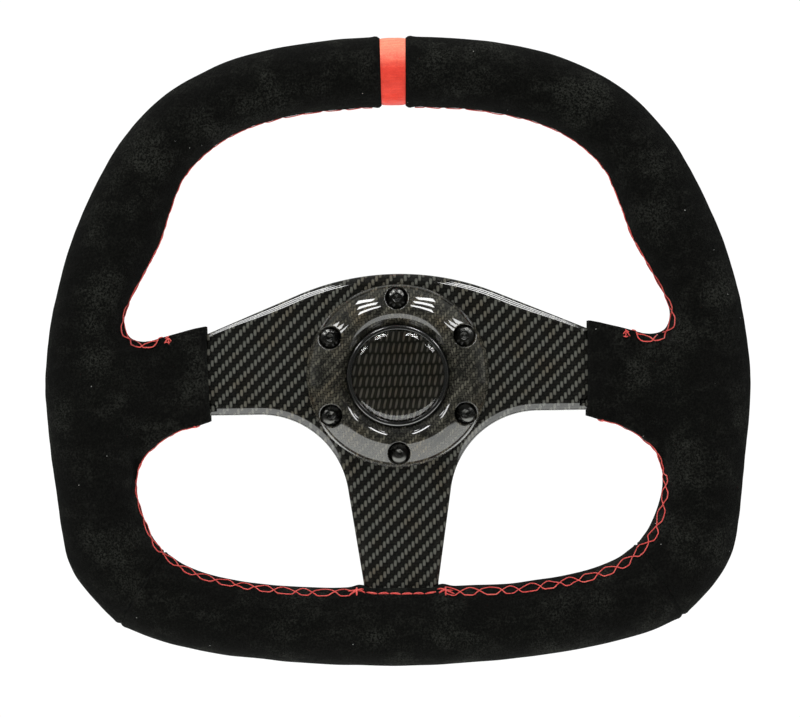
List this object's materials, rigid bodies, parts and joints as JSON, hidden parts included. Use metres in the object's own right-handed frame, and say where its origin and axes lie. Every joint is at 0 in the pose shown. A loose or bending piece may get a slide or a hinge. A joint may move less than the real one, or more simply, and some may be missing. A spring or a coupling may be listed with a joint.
{
  "type": "quick release steering wheel",
  "caption": "Flat-bottomed three-spoke suede steering wheel with a horn button, on a ball-lock quick release hub that it pulls off.",
  "frame": {"origin": "centre of the hub flange's mounting face, on the steering axis", "axes": "-Y along the steering axis towards the driver, +Z to the wheel's top, +X to the driver's right"},
  "size_m": [0.32, 0.0613, 0.2856],
  "materials": {
    "black_anodised": "black anodised, satin",
    "bright_steel": "bright steel",
    "rubber": "matte",
    "ivory_nylon": "moulded nylon",
    "brass": "turned brass",
    "black_plastic": "moulded, fine texture",
    "gloss_black": "polished",
    "carbon": "twill carbon fibre under clear coat",
    "carbon_moulded": "moulded carbon fibre under clear coat",
    "black_steel": "black oxide",
    "aluminium": "mill finish",
    "foam": "integral skin foam",
    "suede": "brushed suede",
    "red_leather": "smooth grain",
    "red_thread": "waxed thread",
    "red_anodised": "red anodised, satin",
    "clear_resin": "clear polyurethane dome"
  },
  "bodies": {
    "column_hub": {"hub_flange": "black_anodised", "drive_pins": "bright_steel", "anti_rattle_ring": "rubber", "contact_insulator": "ivory_nylon", "contact_disc": "brass"},
    "wheel": {"release_body": "black_anodised", "snap_ring": "bright_steel", "sleeve_spring": "bright_steel", "contact_bush": "ivory_nylon", "plunger_spring": "bright_steel", "horn_contact_plate": "brass", "horn_housing": "black_plastic", "horn_spring": "bright_steel", "spoke_plate": "carbon", "trim_ring": "carbon_moulded", "wheel_bolts": "black_steel", "rim_core": "aluminium", "core_rivets": "bright_steel", "rim_foam": "foam", "cover_left": "suede", "cover_right": "suede", "cover_bottom": "suede", "centre_marker": "red_leather", "stitch_upper_left": "red_thread", "stitch_upper_right": "red_thread", "stitch_lower_left": "red_thread", "stitch_lower_right": "red_thread", "stitch_hem": "red_thread"},
    "sleeve": {"release_sleeve": "red_anodised"},
    "plunger": {"contact_plunger": "brass"},
    "horn_button": {"horn_cap": "gloss_black", "emblem_disc": "carbon", "lens": "clear_resin", "moving_contact": "brass"},
    "ball_1": {"ball_1": "bright_steel"},
    "ball_2": {"ball_2": "bright_steel"},
    "ball_3": {"ball_3": "bright_steel"},
    "ball_4": {"ball_4": "bright_steel"},
    "ball_5": {"ball_5": "bright_steel"},
    "ball_6": {"ball_6": "bright_steel"}
  },
  "joints": [
    {"name": "wheel_pull_off", "type": "slide", "parent": "column_hub", "child": "wheel", "axis": [0, -1, 0], "range_m": [0, 0.045]},
    {"name": "sleeve_lock", "type": "slide", "parent": "wheel", "child": "sleeve", "axis": [0, 1, 0], "range_m": [0, 0.004], "stiffness_N_per_m": 1500, "springref_m": 0.006, "deforming": ["sleeve_spring"]},
    {"name": "horn_press", "type": "slide", "parent": "wheel", "child": "horn_button", "axis": [0, 1, 0], "range_m": [0, 0.0025], "stiffness_N_per_m": 2000, "springref_m": -0.002, "deforming": ["horn_spring"]},
    {"name": "plunger_press", "type": "slide", "parent": "wheel", "child": "plunger", "axis": [0, -1, 0], "range_m": [0, 0.001], "stiffness_N_per_m": 400, "springref_m": -0.001, "deforming": ["plunger_spring"]},
    {"name": "ball_1_seat", "type": "slide", "parent": "wheel", "child": "ball_1", "axis": [-1, 0, 0], "range_m": [0, 0.00125]},
    {"name": "ball_2_seat", "type": "slide", "parent": "wheel", "child": "ball_2", "axis": [-0.5, 0, -0.866], "range_m": [0, 0.00125]},
    {"name": "ball_3_seat", "type": "slide", "parent": "wheel", "child": "ball_3", "axis": [0.5, 0, -0.866], "range_m": [0, 0.00125]},
    {"name": "ball_4_seat", "type": "slide", "parent": "wheel", "child": "ball_4", "axis": [1, 0, 0], "range_m": [0, 0.00125]},
    {"name": "ball_5_seat", "type": "slide", "parent": "wheel", "child": "ball_5", "axis": [0.5, 0, 0.866], "range_m": [0, 0.00125]},
    {"name": "ball_6_seat", "type": "slide", "parent": "wheel", "child": "ball_6", "axis": [-0.5, 0, 0.866], "range_m": [0, 0.00125]}
  ],
  "couplings": [
    {"joint": "ball_1_seat", "follows": "sleeve_lock", "ratio": 0.3125},
    {"joint": "ball_2_seat", "follows": "sleeve_lock", "ratio": 0.3125},
    {"joint": "ball_3_seat", "follows": "sleeve_lock", "ratio": 0.3125},
    {"joint": "ball_4_seat", "follows": "sleeve_lock", "ratio": 0.3125},
    {"joint": "ball_5_seat", "follows": "sleeve_lock", "ratio": 0.3125},
    {"joint": "ball_6_seat", "follows": "sleeve_lock", "ratio": 0.3125}
  ]
}
